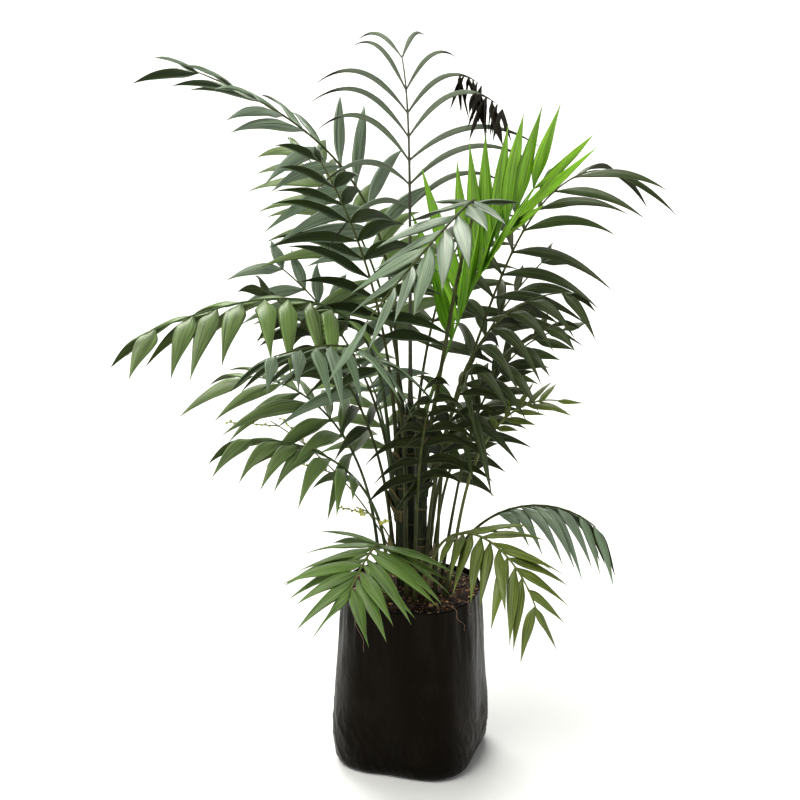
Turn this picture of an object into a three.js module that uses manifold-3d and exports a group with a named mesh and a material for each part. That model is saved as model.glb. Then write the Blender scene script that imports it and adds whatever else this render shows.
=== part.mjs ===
// A parlour palm in a black film grow bag.
// Millimetres, +Z up. The origin is the centre of the bag's flat base. The bag's front faces -Y.
// Each frond is one solid: petiole, rachis and leaflets. Stems stand in plain holes in the soil.
import * as THREE from 'three';
import { mergeVertices } from 'three/addons/utils/BufferGeometryUtils.js';
import Module from 'manifold-3d';

const wasm = await Module();
wasm.setup();

// ---------------------------------------------------------------- driving dimensions
const GAP = 0.3;              // clearance between pieces that touch
const LEAF_CLEARANCE = 0.5;   // least distance between the leaves of different fronds
const OWN_CLEARANCE = 0.25;   // least distance between the leaflets of one frond
const BURIED = 45;            // how deep a stem stands in the soil
const WELD = 1e-5;            // points closer than this are one

const BAG = {
  film: 1.0,
  sectors: 24,
  // height and radius down the wall, from the flat base over the belly to the rim
  outline: [[0, 88], [5, 95], [16, 99], [44, 100.5], [95, 98.5], [142, 96], [190, 93.5], [225, 91.5],
    [232, 91]],
  cornerAt: 28,               // compass angle of one corner of the squarish base
  squareness: 0.09,           // how far the corners stand out at the base, as a share of the radius
  creaseDepth: 1.4,           // soft vertical folds round the wall
};

const SOIL = { edgeHeight: 226, mound: 7, bumps: 2.2, rings: 4 };

const CANE = { sides: 8, scarStep: 40, scarSwell: 0.9, taper: 0.18, sway: 1.6, swayLength: 90 };
const CANES = [
  { name: 'cane_left', x: -12, y: -4, height: 448, radius: 8 },
  { name: 'cane_right', x: 14, y: -8, height: 462, radius: 8.5 },
  { name: 'cane_back', x: 0, y: 16, height: 472, radius: 8 },
];

// Half widths of the square stem at its base, at its lowest leaflet and at its tip.
const STEM = { baseHalf: 2.6, bladeHalf: 1.6, tipHalf: 0.8, petioleSteps: 6, pathSteps: 60 };

const BLADE = {
  keel: 1.5,                  // depth of the midrib below the blade
  seat: 4.2,                  // length of its seat on the rachis
  shoulder: 0.3,              // where it is widest, as a share of its length
  waist: 0.68,                // where its last section lies
  waistWidth: 0.62,           // its width there, as a share of the widest
  spreadBase: 66,             // degrees from the rachis near the petiole
  spreadTip: 27,              // degrees from the rachis at the end
  spreadJitter: 18,
  foldJitter: 24,
  sizeJitter: 0.24,
  firstSize: 0.8,             // the lowest leaflet's length as a share of the longest
  longestAt: 0.35,            // where along the blade the longest leaflet sits
  outerFrom: 0.12,            // beyond this share of its length it is clear of its own frond
};

// Every frond's petiole leaves its root at `start` degrees from upright and bends to `end` at its tip. The
// bend grows as u^bow or, with a `knee`, mostly round that share of its length. It heads for the compass
// angle `az` (0 is +X, 90 is +Y) and drifts by `turn`. `bare` is the share without leaflets, `pairs` the
// leaflet pairs, `leaf` and `width` the longest leaflet, `tip` the last leaflet's length as a share of
// that, `droop` how far a leaflet sinks, `roll` the tilt of the blade about its rachis, which turns to
// `rollEnd` at the tip where that is given, and `fold` how far both sides are raised. `spread` narrows the
// leaflets' angle, as on a new frond, or widens it.
// `on` names the cane that carries the frond, on its side at height `z` or, without `z`, on its top.
const FRONDS = [
  { name: 'frond_high_left', on: 'cane_left', az: 190, length: 547, start: 3, end: 68, bow: 3.8,
    knee: 0.64, spread: 1.1, bare: 0.38, pairs: 11, leaf: 150, width: 19, tip: 0.56, droop: 0.32,
    roll: -78, rollEnd: 32, fold: 0, tone: 'silver' },
  { name: 'frond_left_arch', on: 'cane_left', z: 360, az: 211, length: 512, start: 5, end: 104, bow: 4.2,
    knee: 0.52, spread: 1.35, bare: 0.46, pairs: 9, leaf: 112, width: 26, tip: 0.5, droop: 0.6, roll: 0,
    fold: -4, tone: 'mid' },
  { name: 'frond_high_right', on: 'cane_right', z: 382, az: 15, length: 474, start: 19, end: 109, bow: 5.4,
    bare: 0.42, pairs: 9, leaf: 148, width: 14, tip: 0.6, droop: 0.5, roll: 50, rollEnd: 0, fold: 4,
    tone: 'dark' },
  { name: 'frond_young', on: 'cane_right', az: 351, length: 322, start: 19, end: 37, bow: 4, knee: 0.8,
    spread: 0.72, bare: 0.3, pairs: 10, leaf: 182, width: 21, tip: 0.62, droop: 0.02, roll: 15,
    rollEnd: 85, fold: 46, tone: 'young' },
  { name: 'frond_right_hanging', soil: [30, -26], az: 352, length: 470, start: 2, end: 90, bow: 3.3,
    bare: 0.58, pairs: 7, leaf: 90, width: 15, tip: 0.55, droop: 0.8, roll: 20, fold: -6, tone: 'dark' },
  { name: 'frond_silver_front', on: 'cane_right', z: 434, az: 310, turn: -127, length: 629, start: 14,
    end: 144, bow: 4.6, knee: 0.65, spread: 0.36, bare: 0.58, pairs: 9, leaf: 100, width: 20, tip: 0.7,
    droop: 0.15, roll: 0, fold: 4, tone: 'silver' },
  { name: 'frond_top', on: 'cane_back', az: 101, length: 440, start: 1, end: 52, bow: 6, spread: 0.95,
    bare: 0.54, pairs: 7, leaf: 218, width: 7.5, tip: 0.5, droop: 0.66, roll: 0, fold: 40, tone: 'dark' },
  { name: 'frond_low_left', soil: [-38, -6], az: 174, length: 362, start: 4, end: 90, bow: 2.1,
    spread: 1.1, bare: 0.5, pairs: 7, leaf: 140, width: 21, tip: 0.62, droop: 0.45, roll: -10, fold: 0,
    tone: 'mid' },
  { name: 'frond_lowest_left', soil: [-30, -28], az: 200, length: 325, start: 1, end: 84, bow: 2.2,
    knee: 0.8, spread: 0.9, bare: 0.5, pairs: 7, leaf: 98, width: 20, tip: 0.6, droop: 0.7, roll: 0,
    fold: 0, tone: 'mid' },
  { name: 'frond_right_upright', soil: [37, 8], az: 8, length: 400, start: 9, end: 88, bow: 3.6,
    spread: 0.6, bare: 0.38, pairs: 10, leaf: 70, width: 15, tip: 0.6, droop: 0.2, roll: 40, fold: 0,
    tone: 'dark' },
  { name: 'frond_right_small', soil: [46, -14], az: 358, length: 325, start: 8, end: 104, bow: 3.4,
    spread: 0.8, bare: 0.7, pairs: 6, leaf: 56, width: 10, tip: 0.7, droop: 0.15, roll: 30, fold: 6,
    tone: 'olive' },
  { name: 'frond_skirt_left', soil: [-30, -42], az: 246, length: 186, start: 2, end: 120, bow: 6,
    knee: 0.48, spread: 1.5, bare: 0.4, pairs: 10, leaf: 106, width: 20, tip: 0.74, droop: 0.3, roll: -6,
    fold: 4, tone: 'bright' },
  { name: 'frond_skirt_front', soil: [20, -46], az: 316, length: 282, start: 2, end: 154, bow: 2.1,
    knee: 0.66, spread: 1.1, bare: 0.4, pairs: 11, leaf: 92, width: 16, tip: 0.56, droop: 0.36, roll: 12,
    fold: 0, tone: 'olive' },
  { name: 'frond_skirt_right', soil: [42, -28], az: 352, length: 272, start: 4, end: 132, bow: 1.2,
    bare: 0.5, pairs: 9, leaf: 72, width: 13, tip: 0.6, droop: 1, roll: 0, fold: -10, tone: 'silver' },
  { name: 'frond_inner_left', on: 'cane_left', z: 408, az: 240, length: 440, start: 3, end: 44, bow: 1,
    spread: 1.1, bare: 0.36, pairs: 10, leaf: 125, width: 18, tip: 0.55, droop: 0.42, roll: 0, fold: 4,
    tone: 'silver' },
  { name: 'frond_left_glossy', soil: [-6, -36], az: 232, length: 531, start: 1, end: 91, bow: 6,
    knee: 0.63, spread: 1.25, bare: 0.6, pairs: 8, leaf: 92, width: 21, tip: 0.55, droop: 0.6, roll: 0,
    fold: -6, tone: 'silver' },
  { name: 'frond_back_left', on: 'cane_left', z: 348, az: 160, length: 340, start: 4, end: 56, bow: 1.2,
    spread: 1.1, bare: 0.34, pairs: 9, leaf: 120, width: 18, tip: 0.55, droop: 0.45, roll: -40, fold: 4,
    tone: 'silver' },
  { name: 'frond_mid_left', on: 'cane_left', z: 288, az: 186, length: 380, start: 4, end: 52, bow: 1.3,
    bare: 0.4, pairs: 8, leaf: 112, width: 17, tip: 0.5, droop: 0.45, roll: -20, fold: 0, tone: 'dark' },
  { name: 'frond_mid_right', on: 'cane_right', z: 302, az: 26, length: 390, start: 5, end: 52, bow: 1.3,
    bare: 0.4, pairs: 7, leaf: 108, width: 16, tip: 0.5, droop: 0.5, roll: 25, fold: 0, tone: 'dark' },
  { name: 'frond_centre_front', soil: [4, -48], az: 286, length: 330, start: 1, end: 40, bow: 1.8,
    bare: 0.5, pairs: 7, leaf: 84, width: 15, tip: 0.5, droop: 0.8, roll: 0, fold: 0, tone: 'dark' },
  { name: 'frond_inner_right', on: 'cane_right', z: 250, az: 303, length: 310, start: 4, end: 38, bow: 1.5,
    bare: 0.4, pairs: 8, leaf: 92, width: 15, tip: 0.6, droop: 0.7, roll: 0, fold: 0, tone: 'dark' },
  { name: 'frond_right_arching', on: 'cane_right', z: 282, az: 345, length: 350, start: 5, end: 60,
    bow: 1.6, bare: 0.46, pairs: 6, leaf: 100, width: 17, tip: 0.55, droop: 0.7, roll: 20, fold: 0,
    tone: 'dark' },
  { name: 'frond_back_high', on: 'cane_back', z: 418, az: 132, length: 430, start: 4, end: 66, bow: 1.3,
    bare: 0.34, pairs: 10, leaf: 145, width: 18, tip: 0.5, droop: 0.45, roll: -20, fold: 4, tone: 'mid' },
  { name: 'frond_back_right', on: 'cane_back', z: 372, az: 66, length: 420, start: 6, end: 78, bow: 1.3,
    bare: 0.38, pairs: 8, leaf: 135, width: 17, tip: 0.5, droop: 0.45, roll: 0, fold: 2, tone: 'dark' },
  { name: 'frond_back_low', soil: [-14, 42], az: 108, length: 390, start: 6, end: 95, bow: 1.4, bare: 0.42,
    pairs: 8, leaf: 118, width: 17, tip: 0.5, droop: 0.5, roll: 0, fold: 0, tone: 'mid' },
  { name: 'frond_back_low_right', soil: [28, 34], az: 50, length: 310, start: 4, end: 74, bow: 1.4,
    bare: 0.42, pairs: 7, leaf: 96, width: 17, tip: 0.5, droop: 0.5, roll: 0, fold: 0, tone: 'dark' },
];

// A leaflet near another frond swings aside, then shortens. One that still meets it isn't grown.
const SWINGS = [0, 9, -9, 18, -18, 27, -27];
const SHORTENINGS = [1, 0.8, 0.6];

const FLOWER = {
  stalk: 1.0,                 // half thickness of the stalk
  stalkRings: 6,
  twig: 0.8,                  // half thickness of a twig
  twigs: 3,
  firstTwig: 0.55,            // the lowest twig's place on the stalk, as a share of its length
  lastTwig: 0.95,
  twigShare: 0.3,             // a twig's length as a share of the stalk's
  aside: 0.75,                // how far a twig turns away from the stalk
  sink: 0.25,                 // how far it sinks
  bead: 2.1,
  beads: 4,
  zigzag: 0.7,                // how far the beads stand beside their twig
};
const FLOWERS = [
  { name: 'flower_spray_outer', on: 'cane_left', z: 268, az: 168, length: 245, start: 24, end: 62 },
  { name: 'flower_spray_inner', on: 'cane_left', z: 268, az: 236, length: 140, start: 18, end: 66 },
];

const COLOURS = {
  film: { color: 0x15120e, roughness: 0.35, metalness: 0 },
  soil: { color: 0x3b2417, roughness: 0.95, metalness: 0 },
  cane: { color: 0x2c3a1c, roughness: 0.6, metalness: 0 },
  dark: { color: 0x2b4426, roughness: 0.45, metalness: 0 },
  mid: { color: 0x4c8049, roughness: 0.45, metalness: 0 },
  silver: { color: 0x6b8a74, roughness: 0.5, metalness: 0 },
  bright: { color: 0x54853f, roughness: 0.45, metalness: 0 },
  olive: { color: 0x5d7a30, roughness: 0.45, metalness: 0 },
  young: { color: 0x6db52c, roughness: 0.45, metalness: 0 },
  flower: { color: 0xb9a33c, roughness: 0.7, metalness: 0 },
};

// ---------------------------------------------------------------- helpers
const X = new THREE.Vector3(1, 0, 0);
const Y = new THREE.Vector3(0, 1, 0);
const UP = new THREE.Vector3(0, 0, 1);
const radians = THREE.MathUtils.degToRad;
const mix = THREE.MathUtils.lerp;

// A repeatable number from 0 to 1 for each seed.
function draw(seed) {
  const value = Math.sin(seed * 12.9898) * 43758.5453;
  return value - Math.floor(value);
}

// A centre moved by given amounts along given directions.
function moved(centre, ...steps) {
  const point = centre.clone();
  for (const [direction, amount] of steps) point.addScaledVector(direction, amount);
  return point;
}

function compass(degrees) {
  return new THREE.Vector3(Math.cos(radians(degrees)), Math.sin(radians(degrees)), 0);
}

function geometryOf(points, faces) {
  const geometry = new THREE.BufferGeometry().setFromPoints(points);
  geometry.setIndex(faces.flat());
  return geometry;
}

function signedVolume(points, faces) {
  const cross = new THREE.Vector3();
  return faces.reduce((sum, [a, b, c]) =>
    sum + points[a].dot(cross.crossVectors(points[b], points[c])) / 6, 0);
}

// A closed skin over a row of rings with equal numbers of points. A ring of one point is a tip.
function loft(rings) {
  const points = rings.flat();
  const faces = [];
  let start = 0;
  for (let r = 0; r + 1 < rings.length; r++) {
    const low = rings[r].length;
    const high = rings[r + 1].length;
    for (let k = 0; k < low; k++) {
      const next = (k + 1) % low;
      const above = start + low;
      faces.push([start + k, start + next, above + (next % high)]);
      if (high > 1) faces.push([start + k, above + next, above + k]);
    }
    start += low;
  }
  for (let k = 1; k + 1 < rings[0].length; k++) faces.push([0, k + 1, k]);
  for (let k = 1; k + 1 < rings.at(-1).length; k++) faces.push([start, start + k, start + k + 1]);
  const inward = signedVolume(points, faces) < 0;
  return geometryOf(points, inward ? faces.map(([a, b, c]) => [a, c, b]) : faces);
}

function ringOf(centre, across, along, radius, sides) {
  return Array.from({ length: sides }, (_, k) => {
    const angle = 2 * Math.PI * k / sides;
    return moved(centre, [across, radius * Math.cos(angle)], [along, radius * Math.sin(angle)]);
  });
}

function toSolid(geometry) {
  const bare = geometry.clone();
  bare.deleteAttribute('normal');
  bare.deleteAttribute('uv');
  const welded = mergeVertices(bare, WELD);
  return new wasm.Manifold(new wasm.Mesh({
    numProp: 3,
    vertProperties: new Float32Array(welded.attributes.position.array),
    triVerts: new Uint32Array(welded.index.array),
  }));
}

function toGeometry(solid) {
  const mesh = solid.getMesh();
  const geometry = new THREE.BufferGeometry();
  geometry.setAttribute('position', new THREE.BufferAttribute(mesh.vertProperties, 3));
  geometry.setIndex(new THREE.BufferAttribute(mesh.triVerts, 1));
  return geometry;
}

// ---------------------------------------------------------------- the grow bag and its soil
const RIM = BAG.outline.at(-1)[0];

// The wall's radius at a height, and how much longer a level cut through it is than a square one.
function wallAt(z) {
  const next = Math.max(1, BAG.outline.findIndex(([height]) => height >= z));
  const [lowZ, lowRadius] = BAG.outline[next - 1];
  const [highZ, highRadius] = BAG.outline[next];
  const slope = (highRadius - lowRadius) / (highZ - lowZ);
  return { radius: lowRadius + slope * (z - lowZ), stretch: Math.hypot(1, slope) };
}

// A level ring round the bag, `inset` inside its outer face: squarish at the base, round at the rim.
function bagRing(z, inset) {
  const { radius, stretch } = wallAt(z);
  const rise = z / RIM;
  return Array.from({ length: BAG.sectors }, (_, k) => {
    const angle = 2 * Math.PI * k / BAG.sectors;
    const corner = Math.cos(4 * (angle - radians(BAG.cornerAt)));
    const crease = Math.sin(7 * angle + 3 * rise) * Math.cos(3 * angle - 2 * rise);
    const shape = radius * (1 + BAG.squareness * (1 - 0.8 * rise) * corner)
      + BAG.creaseDepth * Math.min(1, 4 * rise) * crease;
    return moved(new THREE.Vector3(0, 0, z), [compass(360 * k / BAG.sectors), shape - inset * stretch]);
  });
}

// The skin goes up inside from the inner face of the base, over the rim and down outside.
function growBag() {
  const heights = BAG.outline.map(([height]) => height);
  const inside = [BAG.film, ...heights.slice(1)].map((z) => bagRing(z, BAG.film));
  const outside = heights.reverse().map((z) => bagRing(z, 0));
  return loft([...inside, ...outside]);
}

// The soil fills the bag to its edge, then mounds up to the middle with a bumpy top.
function soilBody() {
  const inset = BAG.film + GAP;
  const heights = BAG.outline.map(([height]) => height).filter((z) => z > inset && z < SOIL.edgeHeight);
  const wall = [inset, ...heights, SOIL.edgeHeight].map((z) => bagRing(z, inset));
  const edge = wall.at(-1);
  const top = [];
  for (let r = 1; r < SOIL.rings; r++) {
    const share = 1 - r / SOIL.rings;
    top.push(edge.map((point, k) => {
      const bump = SOIL.bumps * (draw(31 * r + k) - 0.5);
      const rise = SOIL.mound * (1 - share * share);
      return new THREE.Vector3(point.x * share, point.y * share, SOIL.edgeHeight + rise + bump);
    }));
  }
  return loft([...wall, ...top, [new THREE.Vector3(0, 0, SOIL.edgeHeight + SOIL.mound)]]);
}

// ---------------------------------------------------------------- canes
function caneCentre(cane, z) {
  const sway = CANE.sway * Math.sin(z / CANE.swayLength + cane.x);
  return new THREE.Vector3(cane.x + sway, cane.y + sway / 2, z);
}

// The cane is thickest at its foot and swells a little at every leaf scar.
function caneRadius(cane, z) {
  const fromTop = Math.round((cane.height - z) / (CANE.scarStep / 2));
  const scar = fromTop % 2 === 0 ? CANE.scarSwell : 0;
  return cane.radius * (1 - CANE.taper * z / cane.height) + scar;
}

function caneBody(cane, swell, bottom, top) {
  const heights = [];
  for (let z = cane.height; z > bottom; z -= CANE.scarStep / 2) if (z <= top) heights.push(z);
  if (top > cane.height) heights.unshift(top);
  heights.push(bottom);
  return loft(heights.reverse().map((z) =>
    ringOf(caneCentre(cane, z), X, Y, caneRadius(cane, z) + swell, CANE.sides)));
}

// ---------------------------------------------------------------- stems
// Where a frond or a spray starts: at its spot in the soil, or on the side or the top of its cane.
function rootPoint(item, half) {
  if (item.soil) return new THREE.Vector3(item.soil[0], item.soil[1], SOIL.edgeHeight);
  const cane = CANES.find((one) => one.name === item.on);
  if (item.z === undefined) {
    return moved(caneCentre(cane, cane.height), [UP, GAP + half * Math.sin(radians(item.start))]);
  }
  return moved(caneCentre(cane, item.z), [compass(item.az), caneRadius(cane, item.z) + GAP + half]);
}

// The share of its whole bend that a stem has made at `u`.
function bendAt(item, u) {
  const grown = u ** (item.bow ?? 1);
  if (item.knee === undefined) return grown;
  const knee = item.knee ** item.bow;
  return grown * (1 + knee) / (grown + knee);
}

// The middle line of a stem, with its own axes at every step: along it, to its side and over it.
function stemPath(item, root) {
  const path = [];
  const point = root.clone();
  for (let i = 0; i <= STEM.pathSteps; i++) {
    const u = i / STEM.pathSteps;
    const lean = radians(mix(item.start, item.end, bendAt(item, u)));
    const out = compass(item.az + (item.turn ?? 0) * u * u);
    const along = moved(new THREE.Vector3(), [out, Math.sin(lean)], [UP, Math.cos(lean)]);
    const side = new THREE.Vector3().crossVectors(UP, out);
    path.push({ point: point.clone(), along, side, over: new THREE.Vector3().crossVectors(along, side) });
    point.addScaledVector(along, item.length / STEM.pathSteps);
  }
  return path;
}

function pathAt(path, u) {
  const place = u * (path.length - 1);
  const low = Math.min(Math.floor(place), path.length - 2);
  const between = (key) => path[low][key].clone().lerp(path[low + 1][key], place - low);
  return {
    point: between('point'),
    along: between('along').normalize(),
    side: between('side').normalize(),
    over: between('over').normalize(),
  };
}

function stemHalf(frond, u) {
  if (u < frond.bare) return mix(STEM.baseHalf, STEM.bladeHalf, u / frond.bare);
  return mix(STEM.bladeHalf, STEM.tipHalf, (u - frond.bare) / (1 - frond.bare));
}

// The four corners of the stem: side over, far side over, far side under, side under.
function stemCorners({ point, side, over }, half) {
  return [[1, 1], [-1, 1], [-1, -1], [1, -1]]
    .map(([s, o]) => moved(point, [side, s * half], [over, o * half]));
}

function stemFoot(path, depth, half) {
  const first = path[0];
  return stemCorners({ ...first, point: moved(first.point, [first.along, -depth]) }, half);
}

// ---------------------------------------------------------------- leaflets
// The leaflets' places: in pairs from the lowest, the last pair at the very tip.
function leafletPlaces(frond, index) {
  const seatShare = BLADE.seat / frond.length;
  return Array.from({ length: frond.pairs }, (_, pair) => {
    const share = pair === frond.pairs - 1 ? 1 : (pair + 0.3) / frond.pairs;
    const to = Math.min(1, mix(frond.bare, 1, share) + seatShare);
    return { from: to - seatShare, to, share, seed: 100 * index + 2 * pair };
  });
}

function leafletSize(frond, share) {
  const { firstSize, longestAt } = BLADE;
  if (share < longestAt) return mix(1, firstSize, (1 - share / longestAt) ** 2);
  return mix(1, frond.tip, ((share - longestAt) / (1 - longestAt)) ** 1.4);
}

// One leaflet's sections [near edge, far edge, keel] from its foot to its tip. It leaves the rachis at an
// angle and sinks under its own weight.
function leafletSections(frond, path, place, sign, swing, shortening) {
  const seed = place.seed + (sign > 0 ? 0 : 1);
  const { point, along, side, over } = pathAt(path, (place.from + place.to) / 2);
  const roll = radians(mix(frond.roll, frond.rollEnd ?? frond.roll, place.share));
  const fold = radians(frond.fold + BLADE.foldJitter * (draw(seed + 0.3) - 0.5));
  const spread = radians(mix(BLADE.spreadBase, BLADE.spreadTip, place.share) * (frond.spread ?? 1) + swing
    + BLADE.spreadJitter * (draw(seed) - 0.5));
  const flat = moved(new THREE.Vector3(), [side, Math.cos(roll)], [over, Math.sin(roll)]);
  const raised = moved(new THREE.Vector3(), [over, Math.cos(roll)], [side, -Math.sin(roll)]);
  const heading = moved(new THREE.Vector3(), [along, Math.cos(spread)],
    [flat, sign * Math.cos(fold) * Math.sin(spread)], [raised, Math.sin(fold) * Math.sin(spread)]);
  const size = leafletSize(frond, place.share) * (1 + BLADE.sizeJitter * (draw(seed + 0.7) - 0.5));
  const length = frond.leaf * size * shortening;
  const widest = frond.width * mix(0.7, 1, size);
  const section = (t, width, keel) => {
    const centre = moved(point, [heading, length * t], [UP, -frond.droop * length * t * t]);
    const ahead = moved(heading, [UP, -2 * frond.droop * t]).normalize();
    const across = moved(along, [ahead, -along.dot(ahead)]).normalize();
    const above = new THREE.Vector3().crossVectors(across, ahead).multiplyScalar(sign);
    return [moved(centre, [across, -width / 2]), moved(centre, [across, width / 2]),
      moved(centre, [above, -keel])];
  };
  return [
    section(0, BLADE.seat, BLADE.keel),
    section(BLADE.shoulder, widest, BLADE.keel),
    section(BLADE.waist, widest * BLADE.waistWidth, BLADE.keel),
    [moved(point, [heading, length], [UP, -frond.droop * length])],
  ];
}

// The same leaflet without the stretch next to the rachis.
function outerPart(sections) {
  const share = BLADE.outerFrom / BLADE.shoulder;
  return [sections[0].map((point, k) => point.clone().lerp(sections[1][k], share)), ...sections.slice(1)];
}

// ---------------------------------------------------------------- fronds
// A frond's skin: a square stem, ring by ring, whose two side faces open into the leaflets.
function frondSkin(frond, path, places) {
  const points = [];
  const faces = [];
  const add = (ring) => ring.map((point) => points.push(point) - 1);
  const face = (sign, a, b, c) => faces.push(sign > 0 ? [a, b, c] : [a, c, b]);
  const quad = (sign, a, b, c, d) => {
    face(sign, a, b, c);
    face(sign, a, c, d);
  };
  const sprout = (sign, [a, b, c, d], sections) => {
    const [shoulder, waist, [tip]] = sections.slice(1).map(add);
    const [near, far, keel] = shoulder;
    quad(sign, a, b, far, near);
    face(sign, b, c, far);
    quad(sign, c, d, keel, far);
    quad(sign, d, a, near, keel);
    for (let k = 0; k < 3; k++) {
      const next = (k + 1) % 3;
      quad(sign, shoulder[k], shoulder[next], waist[next], waist[k]);
      face(sign, waist[k], waist[next], tip);
    }
  };
  const corners = (u) => add(stemCorners(pathAt(path, u), stemHalf(frond, u)));
  const sides = (low, high, open) => {
    for (let k = 0; k < 4; k++) {
      const next = (k + 1) % 4;
      if (!open.includes(k)) quad(1, low[k], low[next], high[next], high[k]);
    }
  };

  const rings = frond.soil ? [add(stemFoot(path, BURIED, STEM.baseHalf))] : [];
  for (let i = 0; i < STEM.petioleSteps; i++) rings.push(corners(frond.bare * i / STEM.petioleSteps));
  rings.slice(1).forEach((ring, i) => sides(rings[i], ring, []));
  quad(-1, ...rings[0]);
  let last = rings.at(-1);
  for (const place of places) {
    const low = corners(place.from);
    const high = corners(place.to);
    sides(last, low, []);
    const open = [];
    if (place.right) {
      open.push(3);
      sprout(1, [low[0], high[0], high[3], low[3]], place.right);
    }
    if (place.left) {
      open.push(1);
      sprout(-1, [low[1], high[1], high[2], low[2]], place.left);
    }
    sides(low, high, open);
    last = high;
  }
  quad(1, ...last);
  return geometryOf(points, faces);
}

// ---------------------------------------------------------------- flower sprays
// A thin stalk with a few twigs, each set with small round beads.
function flowerSpray(spray) {
  const path = stemPath(spray, rootPoint(spray, FLOWER.stalk));
  const stalk = Array.from({ length: FLOWER.stalkRings }, (_, i) => {
    const { point, side, over } = pathAt(path, i / (FLOWER.stalkRings - 1));
    return ringOf(point, side, over, FLOWER.stalk, 4);
  });
  const pieces = [loft(stalk)];
  for (let twig = 0; twig < FLOWER.twigs; twig++) {
    const sign = twig % 2 === 0 ? 1 : -1;
    const start = pathAt(path, mix(FLOWER.firstTwig, FLOWER.lastTwig, twig / (FLOWER.twigs - 1)));
    const heading = moved(start.along, [start.side, FLOWER.aside * sign], [UP, -FLOWER.sink]).normalize();
    const across = new THREE.Vector3().crossVectors(heading, UP).normalize();
    const above = new THREE.Vector3().crossVectors(across, heading);
    const reach = spray.length * FLOWER.twigShare;
    pieces.push(loft([0, reach].map((far) =>
      ringOf(moved(start.point, [heading, far]), across, above, FLOWER.twig, 4))));
    for (let bead = 1; bead <= FLOWER.beads; bead++) {
      const aside = FLOWER.zigzag * (bead % 2 === 0 ? 1 : -1);
      const centre = moved(start.point, [heading, reach * bead / FLOWER.beads], [across, aside]);
      pieces.push(new THREE.OctahedronGeometry(FLOWER.bead, 0).translate(centre.x, centre.y, centre.z));
    }
  }
  return pieces.map(toSolid);
}

// Joins pieces into one body, without sealed hollows or loose scraps.
function join(pieces) {
  const bodies = pieces.reduce((sum, piece) => sum.add(piece)).decompose();
  bodies.sort((a, b) => b.volume() - a.volume());
  return bodies[0];
}

// ---------------------------------------------------------------- assembly
// What stands so far, so that each new leaflet can be grown clear of it.
const standing = [];

function stand(owner, solid, outer = solid) {
  standing.push({ owner, solid, outer, box: solid.boundingBox() });
}

function boxesNear(a, b, margin) {
  return [0, 1, 2].every((k) => a.min[k] <= b.max[k] + margin && b.min[k] <= a.max[k] + margin);
}

function isClear(solid, others, distance) {
  const box = solid.boundingBox();
  return others.every((other) => !boxesNear(box, other.box, distance)
    || solid.minGap(other.solid, 2 * distance) >= distance);
}

// The sections of the first leaflet, over the swings and shortenings, that meets nothing.
function fittingLeaflet(frond, path, place, sign) {
  const own = standing.filter((other) => other.owner === frond.name)
    .map(({ outer, box }) => ({ solid: outer, box }));
  const foreign = standing.filter((other) => other.owner !== frond.name);
  for (const shortening of SHORTENINGS) {
    for (const swing of SWINGS) {
      const sections = leafletSections(frond, path, place, sign, swing, shortening);
      const whole = toSolid(loft(sections));
      const outer = toSolid(loft(outerPart(sections)));
      if (isClear(whole, foreign, LEAF_CLEARANCE) && isClear(outer, own, OWN_CLEARANCE)) {
        stand(frond.name, whole, outer);
        return sections;
      }
    }
  }
  return null;
}

function named(name, geometry, colour) {
  const mesh = new THREE.Mesh(geometry, new THREE.MeshStandardMaterial(COLOURS[colour]));
  mesh.name = name;
  return mesh;
}

const palm = new THREE.Group();
palm.add(named('grow_bag', growBag(), 'film'));
stand('grow_bag', toSolid(growBag()));
stand('soil', toSolid(soilBody()));

for (const cane of CANES) {
  const body = caneBody(cane, 0, SOIL.edgeHeight - BURIED, cane.height);
  palm.add(named(cane.name, body, 'cane'));
  stand(cane.name, toSolid(body));
}

for (const spray of FLOWERS) {
  const solid = join(flowerSpray(spray));
  palm.add(named(spray.name, toGeometry(solid), 'flower'));
  stand(spray.name, solid);
}

// All the bare stems stand before the first leaflet grows.
const paths = FRONDS.map((frond) => {
  const path = stemPath(frond, rootPoint(frond, STEM.baseHalf));
  stand(frond.name, toSolid(frondSkin(frond, path, leafletPlaces(frond, 0))));
  return path;
});

FRONDS.forEach((frond, index) => {
  const places = leafletPlaces(frond, index);
  for (const place of places) {
    place.right = fittingLeaflet(frond, paths[index], place, 1);
    place.left = fittingLeaflet(frond, paths[index], place, -1);
  }
  palm.add(named(frond.name, frondSkin(frond, paths[index], places), frond.tone));
});

// Each stem's hole has the stem's own shape, a little wider and as much deeper.
const holes = CANES.map((cane) =>
  caneBody(cane, GAP, SOIL.edgeHeight - BURIED - GAP, SOIL.edgeHeight + 2 * CANE.scarStep));
FRONDS.forEach((frond, index) => {
  if (!frond.soil) return;
  const wide = STEM.baseHalf + GAP;
  const above = pathAt(paths[index], frond.bare / STEM.petioleSteps);
  const half = stemHalf(frond, frond.bare / STEM.petioleSteps) + GAP;
  holes.push(loft([stemFoot(paths[index], BURIED + GAP, wide), stemCorners(paths[index][0], wide),
    stemCorners(above, half)]));
});
const dug = holes.reduce((soil, hole) => soil.subtract(toSolid(hole)), toSolid(soilBody()));
palm.add(named('soil', toGeometry(dug), 'soil'));

export default palm;
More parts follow.
